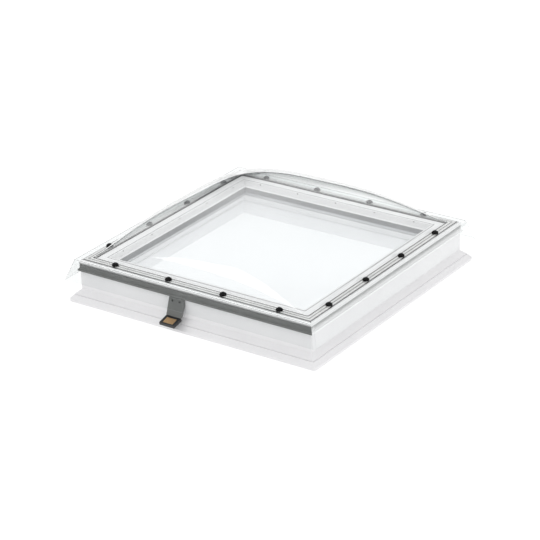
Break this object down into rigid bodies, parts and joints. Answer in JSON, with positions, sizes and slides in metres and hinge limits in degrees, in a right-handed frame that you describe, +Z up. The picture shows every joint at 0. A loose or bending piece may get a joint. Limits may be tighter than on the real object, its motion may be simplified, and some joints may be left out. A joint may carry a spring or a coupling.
{
  "type": "roof skylight",
  "caption": "Square opening flat-roof skylight: insulated upstand, rear-hinged glazed sash, clear domed cover with black screw caps, chain drive and rain sensor.",
  "frame": {"origin": "centre of the roof opening, at the underside of the upstand", "axes": "+X along the hinge side, to the right seen from the front; +Y from the front to the hinge side; +Z up"},
  "size_m": [1.21, 1.2434, 0.3738],
  "materials": {
    "white_pvc": "smooth white rigid plastic",
    "rail_alu": "satin anodised",
    "trim_grey": "satin dark grey paint",
    "glass": "clear float glass",
    "clear_dome": "clear moulded acrylic",
    "gasket_grey": "ribbed grey rubber",
    "strip_light": "soft light foam",
    "black_rubber": "black rubber",
    "spacer_alu": "mill finish",
    "cap_black": "glossy black plastic",
    "screw_steel": "stainless steel",
    "hinge_steel": "zinc plated",
    "sensor_black": "black moulded plastic",
    "sensor_gold": "gold plated tracks",
    "drive_dark": "dark moulded case",
    "chain_steel": "oiled steel"
  },
  "bodies": {
    "base": {"curb_frame": "white_pvc", "sensor_arm": "trim_grey", "curb_seal": "gasket_grey", "cable_grommet": "black_rubber", "drive_cover": "spacer_alu", "drive_housing": "spacer_alu", "curb_leaf_screws": "screw_steel", "sensor_screws": "screw_steel", "drive_screws": "screw_steel", "curb_leaf_left": "hinge_steel", "curb_leaf_right": "hinge_steel", "hinge_pin_left": "hinge_steel", "hinge_pin_right": "hinge_steel", "sensor_head": "sensor_black", "sensor_plate": "sensor_gold", "drive_motor": "drive_dark", "drive_gearbox": "drive_dark", "chain_guide": "chain_steel"},
    "sash": {"sash_frame": "white_pvc", "outer_pane": "glass", "inner_pane": "glass", "glass_spacer": "spacer_alu", "glass_edge_seal": "black_rubber", "glass_tape": "gasket_grey", "glazing_gasket": "gasket_grey", "bead_front": "white_pvc", "bead_right": "white_pvc", "bead_back": "white_pvc", "bead_left": "white_pvc", "bead_screws": "screw_steel", "rail_front": "rail_alu", "rail_right": "rail_alu", "rail_back": "rail_alu", "rail_left": "rail_alu", "rail_cleats": "spacer_alu", "front_trim": "trim_grey", "dome_seal": "strip_light", "dome": "clear_dome", "dome_washers": "black_rubber", "dome_screws": "screw_steel", "dome_caps": "cap_black", "sash_leaf_left": "hinge_steel", "sash_leaf_right": "hinge_steel", "sash_leaf_screws": "screw_steel", "sash_bracket": "hinge_steel", "sash_bracket_screws": "screw_steel"},
    "chain": {"chain_inner_links": "chain_steel", "chain_outer_links": "chain_steel", "chain_pins": "chain_steel", "chain_end_pin": "chain_steel"},
    "sprocket": {"sprocket": "chain_steel"}
  },
  "joints": [
    {"name": "sash_hinge", "type": "hinge", "parent": "base", "child": "sash", "pos_m": [0, 0.573, 0.132], "axis": [-1, 0, 0], "range_deg": [0, 6.5]},
    {"name": "chain_feed", "type": "slide", "parent": "base", "child": "chain", "axis": [0, 0, 1], "range_m": [0, 0.1237]},
    {"name": "sprocket_spin", "type": "hinge", "parent": "base", "child": "sprocket", "pos_m": [0, -0.51759, 0.04], "axis": [1, 0, 0], "range_deg": [0, 823]}
  ],
  "couplings": [
    {"joint": "chain_feed", "follows": "sash_hinge", "m_per_rad": 1.0864},
    {"joint": "sprocket_spin", "follows": "sash_hinge", "ratio": 126.41}
  ]
}
